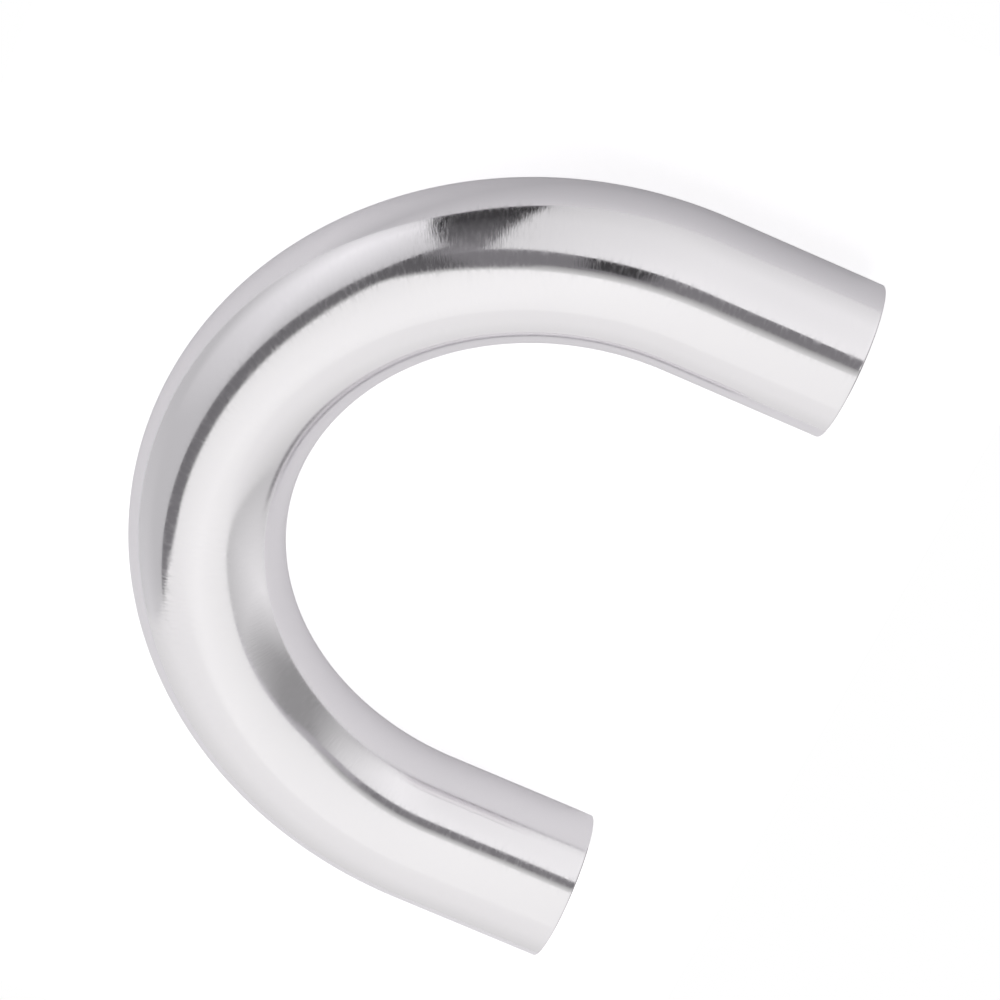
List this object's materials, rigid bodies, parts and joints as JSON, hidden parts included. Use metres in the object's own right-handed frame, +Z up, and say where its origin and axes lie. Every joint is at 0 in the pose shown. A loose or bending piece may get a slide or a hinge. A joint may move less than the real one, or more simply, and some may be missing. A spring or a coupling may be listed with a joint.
{
  "type": "return bend",
  "caption": "Polished thin-walled metal tube bent through a half turn, with a straight plain end on each side, for turning a pipe run back on itself.",
  "frame": {"origin": "middle of the footprint, on the surface that the tube lies on: half way between the cut ends and the back of the bend, half way between the legs", "axes": "+Z up, square to the plane of the bend; +X out of the open ends; the inlet leg at +Y and the outlet leg at -Y"},
  "size_m": [0.2135, 0.3112, 0.0571],
  "materials": {
    "polished_aluminium": "polished, with fine buffing lines round the tube"
  },
  "bodies": {
    "root": {"return_bend": "polished_aluminium"}
  },
  "joints": []
}
